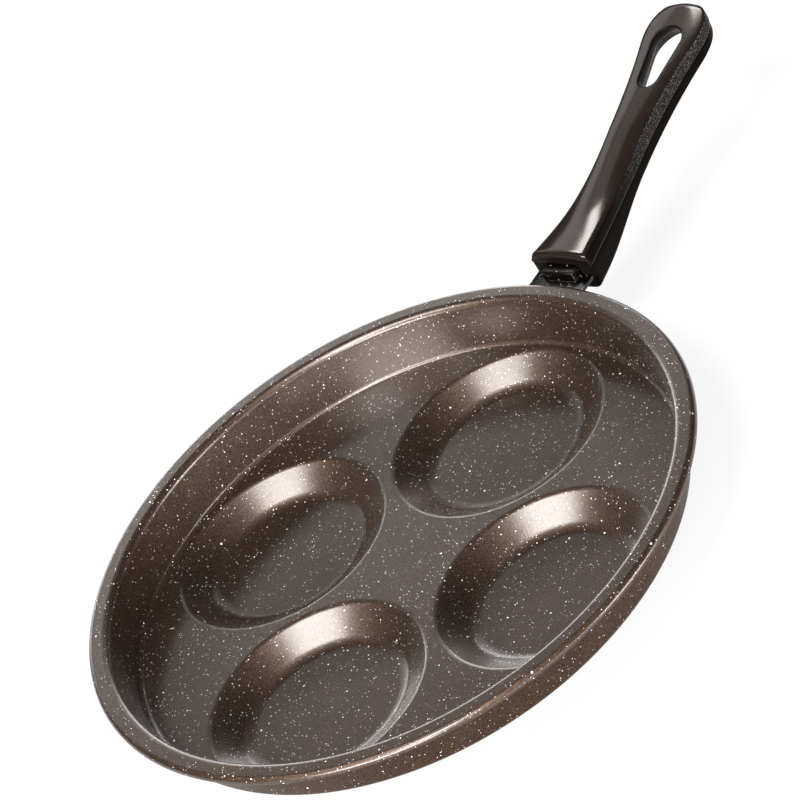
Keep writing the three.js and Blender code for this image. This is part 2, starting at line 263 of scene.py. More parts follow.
def newTree(name, inputs):
    tree = bpy.data.node_groups.new(name, "GeometryNodeTree")
    tree.is_modifier = True
    tree.interface.new_socket("Geometry", in_out="INPUT", socket_type="NodeSocketGeometry")
    for label, kind in inputs.items():
        tree.interface.new_socket(label, in_out="INPUT", socket_type="NodeSocket" + kind)
    tree.interface.new_socket("Geometry", in_out="OUTPUT", socket_type="NodeSocketGeometry")
    return tree, addNode(tree, "NodeGroupInput").outputs


def applyModifiers(piece):
    bpy.context.view_layer.update()
    evaluated = piece.evaluated_get(bpy.context.evaluated_depsgraph_get())
    plain = bpy.data.meshes.new_from_object(evaluated)
    piece.modifiers.clear()
    piece.data = plain


def runTree(piece, tree, values):
    modifier = piece.modifiers.new(tree.name, "NODES")
    modifier.node_group = tree
    for item in tree.interface.items_tree:
        if item.in_out == "INPUT" and item.name in values:
            modifier[item.identifier] = values[item.name]
    applyModifiers(piece)


def newPiece(name, data):
    piece = bpy.data.objects.new(name, data)
    bpy.context.scene.collection.objects.link(piece)
    return piece


def smoothFaces(mesh, sharpAngle):
    mesh.shade_smooth()
    mesh.set_sharp_from_angle(angle=math.radians(sharpAngle))


def faceOutwards(mesh, sharpAngle):
    shape = bmesh.new()
    shape.from_mesh(mesh)
    bmesh.ops.recalc_face_normals(shape, faces=shape.faces)
    shape.to_mesh(mesh)
    shape.free()
    smoothFaces(mesh, sharpAngle)


def roundedLine(corners, steps, support):
    # corners are (radius, height, rounding); each rounding is an arc with a support point before and after it
    points = []
    for i, (r, z, *rounding) in enumerate(corners):
        here = Vector((r, z))
        if not rounding:
            points.append(here)
            continue
        back = (Vector(corners[i - 1][:2]) - here).normalized()
        ahead = (Vector(corners[i + 1][:2]) - here).normalized()
        half = math.acos(back.dot(ahead)) / 2
        reach = rounding[0] / math.tan(half)
        centre = here + (back + ahead).normalized() * rounding[0] / math.sin(half)
        start = here + back * reach - centre
        sweep = start.angle_signed(here + ahead * reach - centre)
        points.append(here + back * (reach + support))
        for k in range(steps + 1):
            turn = Matrix.Rotation(-sweep * k / steps, 2)
            points.append(centre + turn @ start)
        points.append(here + ahead * (reach + support))
    return points


def profileMesh(name, strips):
    # each strip is a line of (radius, height) in millimetres, drawn in the XZ plane
    spots, edges, marks = [], [], []
    for mark, strip in enumerate(strips):
        edges += [(len(spots) + i, len(spots) + i + 1) for i in range(len(strip) - 1)]
        spots += [(r * mm, 0, z * mm) for r, z in strip]
        marks += [mark] * len(strip)
    mesh = bpy.data.meshes.new(name)
    mesh.from_pydata(spots, edges, [])
    mesh.attributes.new("strip", "INT", "POINT").data.foreach_set("value", marks)
    return mesh


def makeSpinTree():
    # turns one strip of the profile round Z: a grid of strip points by turns, bent into place
    tree, given = newTree("spinStrip", {"Strip": "Int", "Turns": "Int"})
    mark = addNode(tree, "GeometryNodeInputNamedAttribute", {"Name": "strip"}, data_type="INT")
    wanted = addNode(tree, "FunctionNodeCompare", {
        2: mark.outputs["Attribute"], 3: given["Strip"],
    }, data_type="INT", operation="EQUAL").outputs[0]
    line = addNode(tree, "GeometryNodeSeparateGeometry", {
        "Geometry": given["Geometry"], "Selection": wanted,
    }).outputs["Selection"]
    count = addNode(tree, "GeometryNodeAttributeDomainSize", {"Geometry": line}).outputs["Point Count"]
    columns = addNode(tree, "FunctionNodeIntegerMath", {0: given["Turns"], 1: 1}, operation="ADD").outputs[0]
    grid = addNode(tree, "GeometryNodeMeshGrid", {"Vertices X": count, "Vertices Y": columns}).outputs["Mesh"]
    index = addNode(tree, "GeometryNodeInputIndex").outputs[0]
    row = addNode(tree, "FunctionNodeIntegerMath", {
        0: index, 1: columns,
    }, operation="DIVIDE_FLOOR").outputs[0]
    column = addNode(tree, "FunctionNodeIntegerMath", {0: index, 1: columns}, operation="MODULO").outputs[0]
    share = addNode(tree, "ShaderNodeMath", {0: column, 1: given["Turns"]}, operation="DIVIDE").outputs[0]
    angle = addNode(tree, "ShaderNodeMath", {0: share, 1: 2 * math.pi}, operation="MULTIPLY").outputs[0]
    spot = addNode(tree, "GeometryNodeSampleIndex", {
        "Geometry": line, "Value": addNode(tree, "GeometryNodeInputPosition").outputs[0], "Index": row,
    }, data_type="FLOAT_VECTOR").outputs[0]
    turned = addNode(tree, "ShaderNodeVectorRotate", {
        "Vector": spot, "Angle": angle,
    }, rotation_type="Z_AXIS").outputs[0]
    bent = addNode(tree, "GeometryNodeSetPosition", {"Geometry": grid, "Position": turned}).outputs[0]
    closed = addNode(tree, "GeometryNodeMergeByDistance", {"Geometry": bent, "Distance": weld}).outputs[0]
    addNode(tree, "NodeGroupOutput", {"Geometry": closed})
    return tree


spinTree = makeSpinTree()

# Pan: floor with its cups, drafted wall, flat rim and turned-down lip, all in one pressed sheet
pan = dict(
    sheet=1.0, rimRadius=130.0, flange=9.0, lip=2.6, wallDepth=21.8, wallDraft=3.0,
    rimRound=2.2, innerRound=3.0, lipRound=0.2, floorRound=2.0, floorUnderRound=2.8,
    cups=4, cupDepth=9.0, cupRun=12.4, cupMargin=3.4, cupWeb=5.4,
    cupEdgeRound=3.8, cupEdgeUnderRound=2.0, cupFloorRound=10.0,
    # how far from its corners the flat sheet meets the spun strips
    floorInset=2.05, floorUnderInset=1.95, cupInset=1.25, cupUnderInset=1.1,
    arcSteps=7, wallSupport=0.12, cupSupport=0.1, cupUnderSupport=0.3, turns=288, cupTurns=144,
    seamWeld=0.004, sharpAngle=40, outerFacing=0.5,
)


def makePanTree():
    tree, given = newTree("cuppedPan", {
        "Cups": "Int", "Pitch": "Float", "Turns": "Int", "Cup turns": "Int", "Coating": "Material",
        "Floor radius": "Float", "Cup radius": "Float", "Floor height": "Float",
        "Under radius": "Float", "Cup under radius": "Float", "Under height": "Float",
    })
    spins = []
    for strip, turns in ((0, "Turns"), (1, "Cup turns"), (2, "Cup turns")):
        spun = addNode(tree, "GeometryNodeGroup", node_tree=spinTree)
        tree.links.new(given["Geometry"], spun.inputs["Geometry"])
        tree.links.new(given[turns], spun.inputs["Turns"])
        spun.inputs["Strip"].default_value = strip
        spins.append(spun.outputs[0])
    places = addNode(tree, "GeometryNodeMeshCircle", {
        "Vertices": given["Cups"], "Radius": given["Pitch"],
    }).outputs[0]
    cup = addNode(tree, "GeometryNodeJoinGeometry")
    for part in spins[1:]:
        tree.links.new(part, cup.inputs[0])
    cups = addNode(tree, "GeometryNodeInstanceOnPoints", {
        "Points": places, "Instance": cup.outputs[0],
    }).outputs[0]
    sheets = []
    for outer, inner, height in (
        ("Floor radius", "Cup radius", "Floor height"),
        ("Under radius", "Cup under radius", "Under height"),
    ):
        edge = addNode(tree, "GeometryNodeCurvePrimitiveCircle", {
            "Resolution": given["Turns"], "Radius": given[outer],
        }).outputs[0]
        hole = addNode(tree, "GeometryNodeCurvePrimitiveCircle", {
            "Resolution": given["Cup turns"], "Radius": given[inner],
        }).outputs[0]
        holes = addNode(tree, "GeometryNodeInstanceOnPoints", {"Points": places, "Instance": hole}).outputs[0]
        realHoles = addNode(tree, "GeometryNodeRealizeInstances", {0: holes}).outputs[0]
        lines = addNode(tree, "GeometryNodeJoinGeometry")
        tree.links.new(edge, lines.inputs[0])
        tree.links.new(realHoles, lines.inputs[0])
        flat = addNode(tree, "GeometryNodeFillCurve", {"Curve": lines.outputs[0]}).outputs[0]
        lift = addNode(tree, "ShaderNodeCombineXYZ", {"Z": given[height]}).outputs[0]
        lifted = addNode(tree, "GeometryNodeTransform", {"Geometry": flat, "Translation": lift}).outputs[0]
        sheets.append(lifted)
    whole = addNode(tree, "GeometryNodeJoinGeometry")
    for part in (spins[0], cups, *sheets):
        tree.links.new(part, whole.inputs[0])
    real = addNode(tree, "GeometryNodeRealizeInstances", {0: whole.outputs[0]}).outputs[0]
    closed = addNode(tree, "GeometryNodeMergeByDistance", {
        "Geometry": real, "Distance": pan["seamWeld"] * mm,
    }).outputs[0]
    coated = addNode(tree, "GeometryNodeSetMaterial", {
        "Geometry": closed, "Material": given["Coating"],
    }).outputs[0]
    addNode(tree, "NodeGroupOutput", {"Geometry": coated})
    return tree


def makePan():
    sheet = pan["sheet"]
    floorTop = sheet + pan["cupDepth"]
    floorUnder = floorTop - sheet
    rimTop = floorTop + pan["wallDepth"]
    rimUnder = rimTop - sheet
    lipBottom = rimTop - pan["lip"]
    lipInner = pan["rimRadius"] - sheet
    wallTop = pan["rimRadius"] - pan["flange"]
    floorRadius = wallTop - pan["wallDraft"]
    lean = pan["wallDraft"] / pan["wallDepth"]
    sine = math.sin(math.pi / pan["cups"])
    cupTop = ((floorRadius - pan["cupMargin"]) * sine - pan["cupWeb"] / 2) / (1 + sine)
    cupBottom = cupTop - pan["cupRun"]
    cupLean = pan["cupRun"] / pan["cupDepth"]
    pitch = floorRadius - pan["cupMargin"] - cupTop

    def outer(z):
        return floorRadius + lean * (z - floorTop) + sheet * math.hypot(1, lean)

    def cupOuter(z):
        return cupBottom + cupLean * (z - sheet) + sheet * math.hypot(1, cupLean)

    floorFlat = floorRadius - pan["floorInset"]
    underFlat = floorRadius - pan["floorUnderInset"]
    cupFlat = cupTop + pan["cupInset"]
    cupUnderFlat = cupOuter(floorUnder) + pan["cupUnderInset"]
    wall = roundedLine([
        (floorFlat, floorTop),
        (floorRadius, floorTop, pan["floorRound"]),
        (wallTop, rimTop, pan["innerRound"]),
        (pan["rimRadius"], rimTop, pan["rimRound"]),
        (pan["rimRadius"], lipBottom, pan["lipRound"]),
        (lipInner, lipBottom, pan["lipRound"]),
        (lipInner, rimUnder, pan["rimRound"] - sheet),
        (outer(rimUnder), rimUnder, pan["innerRound"] - sheet),
        (outer(floorUnder), floorUnder, pan["floorUnderRound"]),
        (underFlat, floorUnder),
    ], pan["arcSteps"], pan["wallSupport"])
    cupInside = roundedLine([
        (cupFlat, floorTop),
        (cupTop, floorTop, pan["cupEdgeRound"]),
        (cupBottom, sheet, pan["cupFloorRound"]),
        (0, sheet),
    ], pan["arcSteps"], pan["cupSupport"])
    cupOutside = roundedLine([
        (cupUnderFlat, floorUnder),
        (cupOuter(floorUnder), floorUnder, pan["cupEdgeUnderRound"]),
        (cupOuter(0), 0, pan["cupFloorRound"] + sheet),
        (0, 0),
    ], pan["arcSteps"], pan["cupUnderSupport"])
    piece = newPiece("speckled_pan", profileMesh("panProfile", [wall, cupInside, cupOutside]))
    runTree(piece, makePanTree(), {
        "Cups": pan["cups"], "Pitch": pitch * mm, "Turns": pan["turns"], "Cup turns": pan["cupTurns"],
        "Floor radius": floorFlat * mm, "Cup radius": cupFlat * mm, "Floor height": floorTop * mm,
        "Under radius": underFlat * mm, "Cup under radius": cupUnderFlat * mm,
        "Under height": floorUnder * mm, "Coating": coating,
    })
    piece.data.transform(Matrix.Translation((panAxis, 0, 0)))
    faceOutwards(piece.data, pan["sharpAngle"])
    piece.data.materials.append(outerCoating)
    for face in piece.data.polygons:
        spoke = Vector((face.center.x - panAxis, face.center.y, 0))
        onWall = floorRadius * mm < spoke.length < lipInner * mm
        if onWall and face.normal.dot(spoke.normalized()) > pan["outerFacing"]:
            face.material_index = len(piece.data.materials) - 1
    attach(piece, "root")
    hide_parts("pan_body")
    print("pan:", len(piece.data.polygons), "faces")
    return piece


panPiece = makePan()

# Handle: two moulded shells that meet on one line, waisted, rising towards the tip
shellLow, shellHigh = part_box("handle_top_shell")
handle = dict(
    front=(shellLow.x - panAxis) / mm, tip=(shellHigh.x - panAxis) / mm, parting=32.9, gap=0.1,
    frontHalf=16.2, waistHalf=9.4, palmHalf=16.7, waistFromFront=60.0, palmFromTip=11.0,
    tipRound=21.0, tipBlunt=1.02, cornerRound=1.5, edgeRound=0.5,
    riseStart=13.0, riseRun=47.0, riseSlope=0.24,
    topFront=4.8, topGrip=6.8, topTip=4.6, humpStart=20.0, humpRun=50.0, fallStart=66.0, fallRun=70.0,
    topRound=2.2, tipDrop=3.6, crown=0.9,
    # shares of the top shell's half width or height, at its domed front and along its squarer grip
    flat=(0.70, 0.84), shoulder=(0.89, 0.965), sideWidth=(0.93, 0.98), sideHeight=(0.55, 0.80),
    squareRun=70.0,
    frontDepth=12.0, gripDepth=6.0, swellStart=8.0, swellEnd=56.0, lowTipRound=1.4, step=0.5,
    # the last two below: where the sides' sanded grain and its painted glints fade in from the front
    lowWidth=0.97, lowHeight=0.72, lowFlat=0.8, sandAndGlintStart=25.0, sandAndGlintRun=45.0,
    slotFromTip=11.8, slotLength=30.5, slotFrontRadius=4.7, slotTipRadius=7.0, slotStraight=2.6,
    slotRound=0.7, slotMargin=0.6, flare=6.0, flareTop=1.0, flareBottom=-15.0,
    across=18, sideSteps=(0.35, 0.7), shoulderSteps=9, lowSteps=6, tipSteps=24, gripSteps=90, leastStep=0.02,
    edgeTurns=(0, 30, 60, 90), lowEdgeTurns=(0, 45, 90), endTurns=range(0, 90, 9), sandedRows=range(3, 10),
    slotFrontSteps=30, slotTipSteps=44, slotSideSteps=12, slotArcSteps=7, slotTries=8, planWeld=1e-7,
    sharpAngle=50,
)
slotMiddle = handle["tip"] - handle["slotFromTip"] - handle["slotLength"] / 2


def edgeDrop(distance, radius):
    inward = min(max(0.0, radius - distance), radius)
    return radius - math.sqrt(radius * radius - inward * inward)


def smooth(t):
    t = min(1.0, max(0.0, t))
    return t * t * (3 - 2 * t)


def partingAt(x):
    run = max(0.0, x - handle["front"] - handle["riseStart"])
    bend = min(run, handle["riseRun"])
    return handle["parting"] + handle["riseSlope"] * (bend * bend / (2 * handle["riseRun"]) + run - bend)


def slopeAt(x):
    run = max(0.0, x - handle["front"] - handle["riseStart"])
    return handle["riseSlope"] * min(run, handle["riseRun"]) / handle["riseRun"]


def halfWidthAt(x):
    along = x - handle["front"]
    waist = handle["waistFromFront"]
    palm = handle["tip"] - handle["front"] - handle["palmFromTip"]
    frontward = max(0.0, 1 - along / waist)
    palmward = max(0.0, (along - waist) / (palm - waist))
    width = handle["waistHalf"] + (handle["frontHalf"] - handle["waistHalf"]) * frontward ** 2
    width += (handle["palmHalf"] - handle["waistHalf"]) * palmward ** 2
    tipShare = max(0.0, 1 - (handle["tip"] - x) / handle["tipRound"]) / handle["tipBlunt"]
    return width * math.sqrt(1 - tipShare ** 2) - edgeDrop(along, handle["cornerRound"])


def topHeightAt(x):
    along = x - handle["front"]
    risen = smooth((along - handle["humpStart"]) / handle["humpRun"])
    fallen = smooth((along - handle["fallStart"]) / handle["fallRun"])
    rise = (handle["topGrip"] - handle["topFront"]) * risen
    fall = (handle["topGrip"] - handle["topTip"]) * fallen
    ends = edgeDrop(along, handle["topRound"]) + edgeDrop(handle["tip"] - x, handle["tipDrop"])
    return handle["topFront"] + rise - fall - ends


def depthAt(x):
    along = x - handle["front"]
    swell = smooth((along - handle["swellStart"]) / (handle["swellEnd"] - handle["swellStart"]))
    depth = handle["frontDepth"] + (handle["gripDepth"] - handle["frontDepth"]) * swell
    return depth - edgeDrop(handle["tip"] - x, handle["lowTipRound"])


def shareAt(x, name):
    front, grip = handle[name]
    return front + (grip - front) * smooth((x - handle["front"]) / handle["squareRun"])


def straight(a, b, t):
    return tuple(a[i] + (b[i] - a[i]) * t for i in (0, 1))


def quadratic(a, b, c, t):
    return tuple(a[i] * (1 - t) ** 2 + 2 * b[i] * t * (1 - t) + c[i] * t * t for i in (0, 1))


def topSide(x):
    # half of the top shell's section, from its lower edge up the side and over the rounded shoulder
    half, height, edge = halfWidthAt(x), topHeightAt(x), handle["edgeRound"]
    flat, shoulder = shareAt(x, "flat"), shareAt(x, "shoulder")
    turns = [math.radians(a) for a in handle["edgeTurns"]]
    side = [(half - edge + edge * math.sin(a), edge - edge * math.cos(a)) for a in turns]
    low, high = (half, edge), (half * shareAt(x, "sideWidth"), height * shareAt(x, "sideHeight"))
    side += [straight(low, high, t) for t in handle["sideSteps"]]
    fall = 2 * handle["crown"] / flat * (shoulder - flat)
    over, end, count = (half * shoulder, height - fall), (half * flat, height), handle["shoulderSteps"]
    side += [quadratic(high, over, end, k / count) for k in range(count + 1)]
    return [(y, partingAt(x) + handle["gap"] / 2 + z) for y, z in side]


def topSurface(x, y):
    share = y / (shareAt(x, "flat") * halfWidthAt(x))
    return partingAt(x) + handle["gap"] / 2 + topHeightAt(x) + handle["crown"] * max(0.0, 1 - share ** 2)


def bottomSide(x):
    half, depth, edge = halfWidthAt(x) - handle["step"], depthAt(x), handle["edgeRound"]
    turns = [math.radians(a) for a in handle["lowEdgeTurns"]]
    side = [(half - edge + edge * math.sin(a), edge * math.cos(a) - edge) for a in turns]
    low, high = (half, -edge), (half * handle["lowWidth"], -depth * handle["lowHeight"])
    side += [straight(low, high, t) for t in handle["sideSteps"]]
    under, end, count = (high[0], -depth), (half * handle["lowFlat"], -depth), handle["lowSteps"]
    side += [quadratic(high, under, end, k / count) for k in range(count + 1)]
    return [(y, partingAt(x) - handle["gap"] / 2 + z) for y, z in side]


def bottomSurface(x, y):
    return partingAt(x) - handle["gap"] / 2 - depthAt(x)


def handleStations():
    # where the shells have their sections, closer together at both rounded ends
    front, tip = handle["front"], handle["tip"]
    turns = [math.radians(a) for a in handle["endTurns"]]
    spots = [front + handle["topRound"] * (1 - math.cos(a)) for a in turns]
    spots += [tip - handle["topRound"] * (1 - math.cos(a)) for a in turns]
    last = math.asin(1 / handle["tipBlunt"])
    for k in range(handle["tipSteps"]):
        reach = handle["tipBlunt"] * math.sin(last * k / handle["tipSteps"])
        spots.append(tip - handle["tipRound"] * (1 - reach))
    start, end = front + handle["topRound"], tip - handle["tipRound"]
    spots += [start + (end - start) * k / handle["gripSteps"] for k in range(handle["gripSteps"])]
    spots.sort()
    kept = [spots[0]]
    for x in spots[1:-1]:
        if min(x - kept[-1], spots[-1] - x) > handle["leastStep"]:
            kept.append(x)
    return kept + [spots[-1]]


def slotOutline(offset):
    # the slot in its own tilted plane: two round ends joined by straight sides
    reach = handle["slotLength"] / 2
    front = handle["slotFrontRadius"] - reach
    tip = reach - handle["slotTipRadius"]
    tilt = math.asin((handle["slotTipRadius"] - handle["slotFrontRadius"]) / (tip - front))
    start = math.pi / 2 + tilt
    ends = []
    for centre, radius, first, last, count in (
        (front, handle["slotFrontRadius"] + offset, start, 2 * math.pi - start, handle["slotFrontSteps"]),
        (tip, handle["slotTipRadius"] + offset, -start, start, handle["slotTipSteps"]),
    ):
        angles = [first + (last - first) * k / count for k in range(count + 1)]
        ends.append([(centre + radius * math.cos(a), radius * math.sin(a)) for a in angles])
    outline = []
    count = handle["slotSideSteps"]
    for here, there in ((ends[0], ends[1]), (ends[1], ends[0])):
        outline += here
        outline += [straight(here[-1], there[0], k / count) for k in range(1, count)]
    return outline


def slotSpot(u, v, n):
    tilt = math.atan(slopeAt(slotMiddle))
    x = slotMiddle + u * math.cos(tilt) - n * math.sin(tilt)
    return x, v, partingAt(slotMiddle) + u * math.sin(tilt) + n * math.cos(tilt)


def heightOn(surface, u, v):
    # how far along the slot's axis the surface lies, which settles in a few tries
    n = 0.0
    for _ in range(handle["slotTries"]):
        x, y, z = slotSpot(u, v, n)
        n += surface(x, y) - z
    return n


def isInside(x, y, outline):
    crossings = 0
    for (x1, y1), (x2, y2) in zip(outline, outline[1:] + outline[:1]):
        if (y1 > y) != (y2 > y) and x < x1 + (y - y1) * (x2 - x1) / (y2 - y1):
            crossings += 1
    return crossings % 2 == 1


def fillFlat(spots, loops, hole):
    # triangles between the closed loops, over spots in plan
    edges = [(a, b) for loop in loops for a, b in zip(loop, loop[1:] + loop[:1])]
    flat = [Vector(spot[:2]) for spot in spots]
    made, _, faces, origin, _, _ = delaunay_2d_cdt(flat, edges, [], 1, handle["planWeld"])
    kept = []
    for face in faces:
        middle = sum((made[i] for i in face), Vector((0, 0))) / len(face)
        if not isInside(middle.x, middle.y, hole):
            kept.append([origin[i][0] for i in face])
    return kept


def meshFromMm(name, spots, faces):
    mesh = bpy.data.meshes.new(name)
    mesh.from_pydata([(panAxis + x * mm, y * mm, z * mm) for x, y, z in spots], [], faces)
    return mesh


def makeShell(name, side, surface, slotRows, slotEdge, finishes, sideRows):
    # side rows along both edges, a filled face over them with the slot in it, and a face on the parting line;
    # the side rows named, the ends and the slot have the second finish
    stations = handleStations()
    last = len(stations) - 1
    rows = len(side(stations[0]))
    spots, faces, second, columns = [], [], [], {}
    for sign in (1, -1):
        for i, x in enumerate(stations):
            for k, (y, z) in enumerate(side(x)):
                columns[sign, i, k] = len(spots)
                spots.append((x, sign * y, z))
    for sign in (1, -1):
        for i in range(last):
            for k in range(rows - 1):
                quad = ((i, k), (i + 1, k), (i + 1, k + 1), (i, k + 1))
                faces.append([columns[sign, a, b] for a, b in quad])
                second.append(k in sideRows)

    def acrossAt(i):
        reach = side(stations[i])[-1][0]
        return [reach * (1 - 2 * k / handle["across"]) for k in range(1, handle["across"])]

    ends = {}
    for i in (0, last):
        ends[i] = []
        for y in acrossAt(i):
            ends[i].append(len(spots))
            spots.append((stations[i], y, surface(stations[i], y)))
        left, right = ([columns[sign, i, k] for k in range(rows)] for sign in (1, -1))
        faces.append(left + ends[i] + right[::-1])
    rings = []
    for row in slotRows:
        rings.append(list(range(len(spots), len(spots) + len(row))))
        spots += row
    for upper, lower in zip(rings, rings[1:]):
        count = len(upper)
        for j in range(count):
            after = (j + 1) % count
            faces.append([upper[j], upper[after], lower[after], lower[j]])
    second += [True] * (len(faces) - len(second))
    inner = []
    for i in range(1, last):
        for y in acrossAt(i):
            if not isInside(stations[i], y, slotEdge):
                inner.append(len(spots))
                spots.append((stations[i], y, surface(stations[i], y)))
    lines = {}
    for sign in (1, -1):
        for k in (0, rows - 1):
            lines[sign, k] = [columns[sign, i, k] for i in range(last + 1)]
    outerEdge = lines[1, rows - 1] + ends[last] + lines[-1, rows - 1][::-1] + ends[0][::-1]
    seam = lines[1, 0] + lines[-1, 0][::-1]
    outerRing, seamRing = (rings[0], rings[-1]) if rings else ([], [])
    for edge, ring, extra in ((outerEdge, outerRing, inner), (seam, seamRing, [])):
        used = edge + ring + extra
        where = {spot: j for j, spot in enumerate(used)}
        hole = [spots[j][:2] for j in ring]
        loops = [[where[j] for j in line] for line in (edge, ring) if line]
        faces += [[used[j] for j in face] for face in fillFlat([spots[j] for j in used], loops, hole)]
    mesh = meshFromMm(name, spots, faces)
    for finish in finishes:
        mesh.materials.append(finish)
    for face, isSecond in enumerate(second):
        mesh.polygons[face].material_index = int(isSecond and len(finishes) > 1)
    # the mark on the side rows fades in from the front; it carries both the sanded grain and the painted
    # glints
    sandGrainAndGlint = [0.0] * len(spots)
    for (_, i, k), spot in columns.items():
        fade = smooth((stations[i] - handle["front"] - handle["sandAndGlintStart"]) / handle["sandAndGlintRun"])
        sandGrainAndGlint[spot] = float(k in sideRows) * fade
    mesh.attributes.new("sandGrainAndGlint", "FLOAT", "POINT").data.foreach_set("value", sandGrainAndGlint)
    piece = newPiece(name, mesh)
    faceOutwards(mesh, handle["sharpAngle"])
    return piece


slotThroat = topHeightAt(slotMiddle) - handle["slotStraight"]
slotSpread = handle["flare"] / (slotThroat + handle["gripDepth"])


def topSlotRows():
    # rounded edge on the top face, straight throat, then the start of the flare
    bend, seat, rows = handle["slotRound"], handle["gap"] / 2, []
    for k in range(handle["slotArcSteps"] + 1):
        a = math.radians(90) * k / handle["slotArcSteps"]
        outline, drop = slotOutline(bend * (1 - math.sin(a))), bend * (1 - math.cos(a))
        rows.append([slotSpot(u, v, heightOn(topSurface, u, v) - drop) for u, v in outline])
    rows.append([slotSpot(u, v, slotThroat) for u, v in slotOutline(0)])

    def seatSurface(x, y):
        return partingAt(x) + seat

    outline = slotOutline(slotSpread * (slotThroat - seat))
    rows.append([slotSpot(u, v, heightOn(seatSurface, u, v)) for u, v in outline])
    return rows


def flareCutter():
    # the widening lower part of the slot, as a closed solid to cut with
    spots = []
    for n in (handle["flareTop"], handle["flareBottom"]):
        spots += [slotSpot(u, v, n) for u, v in slotOutline(slotSpread * (slotThroat - n))]
    count = len(spots) // 2
    faces = [[j, (j + 1) % count, count + (j + 1) % count, count + j] for j in range(count)]
    faces += [list(range(count)), list(range(count, 2 * count))]
    mesh = meshFromMm("slotFlare", spots, faces)
    faceOutwards(mesh, handle["sharpAngle"])
    return newPiece("slotFlare", mesh)


# Screws from below into inserts in the top shell, one through the bracket's tongue and one behind it
fixing = dict(
    screwRadius=2.0, headRadius=3.7, headHeight=2.4, headRound=0.9,
    recessWidth=1.1, recessLength=4.2, recessDepth=1.4, threadPitch=0.7, threadDepth=0.3,
    washerRim=0.4, washerThickness=0.8, washerEdge=0.12, insertWall=1.2, insertSkin=1.3,
    frontX=158.0, rearX=198.85, frontSeatHeight=26.9, rearSeat=-1.9, frontShankTop=2.8, rearShankTop=5.2,
    fit=0.3, faceGap=0.1, turns=40, arcSteps=5, support=0.02, sharpAngle=40,
    # where the cutting shapes end, clear of what they cut
    overlap=1.0, pastFront=5.0, pocketTop=60.0, wellBottom=-5.0, holeTop=12.0, boreBottom=-25.0,
)
places = [
    dict(end="front", x=fixing["frontX"], lean=0.0, shankTop=fixing["frontShankTop"],
         seat=fixing["frontSeatHeight"] - partingAt(fixing["frontX"])),
    dict(end="rear", x=fixing["rearX"], lean=math.atan(slopeAt(fixing["rearX"])),
         shankTop=fixing["rearShankTop"], seat=fixing["rearSeat"]),
]

# Bracket: the tongue inside the handle is a folded channel, so the lower shell has a pocket of that shape
bracket = dict(
    sheet=1.5, tongueEnd=172.0, plateBottom=26.8, noseTop=32.6, shellWall=2.0,
    edge=0.35, edgeSegments=2, cornerAngle=50, flatAngle=1, sharpAngle=35,
)
tongueHalf = halfWidthAt(bracket["tongueEnd"]) - handle["step"] - bracket["shellWall"] - fixing["fit"]


def frameAt(place):
    spot = Matrix.Translation((panAxis + place["x"] * mm, 0, partingAt(place["x"]) * mm))
    return spot @ Matrix.Rotation(-place["lean"], 4, "Y")


def meshFromShape(name, shape):
    mesh = bpy.data.meshes.new(name)
    shape.to_mesh(mesh)
    shape.free()
    return mesh


def makeRod(name, place, radius, bottom, top):
    shape = bmesh.new()
    bmesh.ops.create_cone(
        shape, cap_ends=True, segments=fixing["turns"], radius1=radius * mm, radius2=radius * mm,
        depth=(top - bottom) * mm,
    )
    mesh = meshFromShape(name, shape)
    mesh.transform(frameAt(place) @ Matrix.Translation((0, 0, (top + bottom) / 2 * mm)))
    return newPiece(name, mesh)


def makeBlock(name, low, high, place):
    shape = bmesh.new()
    bmesh.ops.create_cube(shape, size=1.0)
    for corner in shape.verts:
        corner.co = [(low[i] if corner.co[i] < 0 else high[i]) * mm for i in range(3)]
    mesh = meshFromShape(name, shape)
    mesh.transform(place)
    return newPiece(name, mesh)


def cut(piece, cutters):
    for cutter in cutters:
        modifier = piece.modifiers.new("cut", "BOOLEAN")
        modifier.operation = "DIFFERENCE"
        modifier.solver = "EXACT"
        modifier.object = cutter
    applyModifiers(piece)
    for cutter in cutters:
        bpy.data.objects.remove(cutter)
    smoothFaces(piece.data, handle["sharpAngle"])


def makeTopShell():
    margin = handle["slotRound"] + handle["slotMargin"]
    lip = [slotSpot(u, v, topHeightAt(slotMiddle))[:2] for u, v in slotOutline(margin)]
    finishes = [polishedResin, sandedResin]
    shell = makeShell("handle_top", topSide, topSurface, topSlotRows(), lip, finishes, handle["sandedRows"])
    radius = fixing["screwRadius"] + 2 * fixing["fit"] + fixing["insertWall"]
    wells = []
    for place in places:
        top = topHeightAt(place["x"]) - fixing["insertSkin"] + fixing["fit"]
        wells.append(makeRod("insertWell", place, radius, fixing["wellBottom"], top))
    cut(shell, wells)
    return shell


def makeBottomShell():
    shell = makeShell("handle_bottom", bottomSide, bottomSurface, [], [], [dullResin], [])
    fit, overlap = fixing["fit"], fixing["overlap"]
    start, end = handle["front"] - fixing["pastFront"], bracket["tongueEnd"] + fit
    pocketHalf = tongueHalf + fit
    pocketBottom = bracket["plateBottom"] - fit
    ribHalf = tongueHalf - bracket["sheet"] - fit
    ribTop = bracket["noseTop"] - bracket["sheet"] - fit
    axis = Matrix.Translation((panAxis, 0, 0))
    top, sideTop = fixing["pocketTop"], ribTop + overlap
    cutters = [flareCutter()]
    cutters.append(makeBlock("pocketTop", (start, -pocketHalf, ribTop), (end, pocketHalf, top), axis))
    for low, high in ((-pocketHalf, -ribHalf), (ribHalf, pocketHalf)):
        cutters.append(makeBlock("pocketSide", (start, low, pocketBottom), (end, high, sideTop), axis))
    hole = fixing["screwRadius"] + fit
    bore = fixing["headRadius"] + fixing["washerRim"] + fit
    for place in places:
        cutters.append(makeRod("screwHole", place, hole, place["seat"] - overlap, fixing["holeTop"]))
        cutters.append(makeRod("counterbore", place, bore, fixing["boreBottom"], place["seat"]))
    cut(shell, cutters)
    return shell


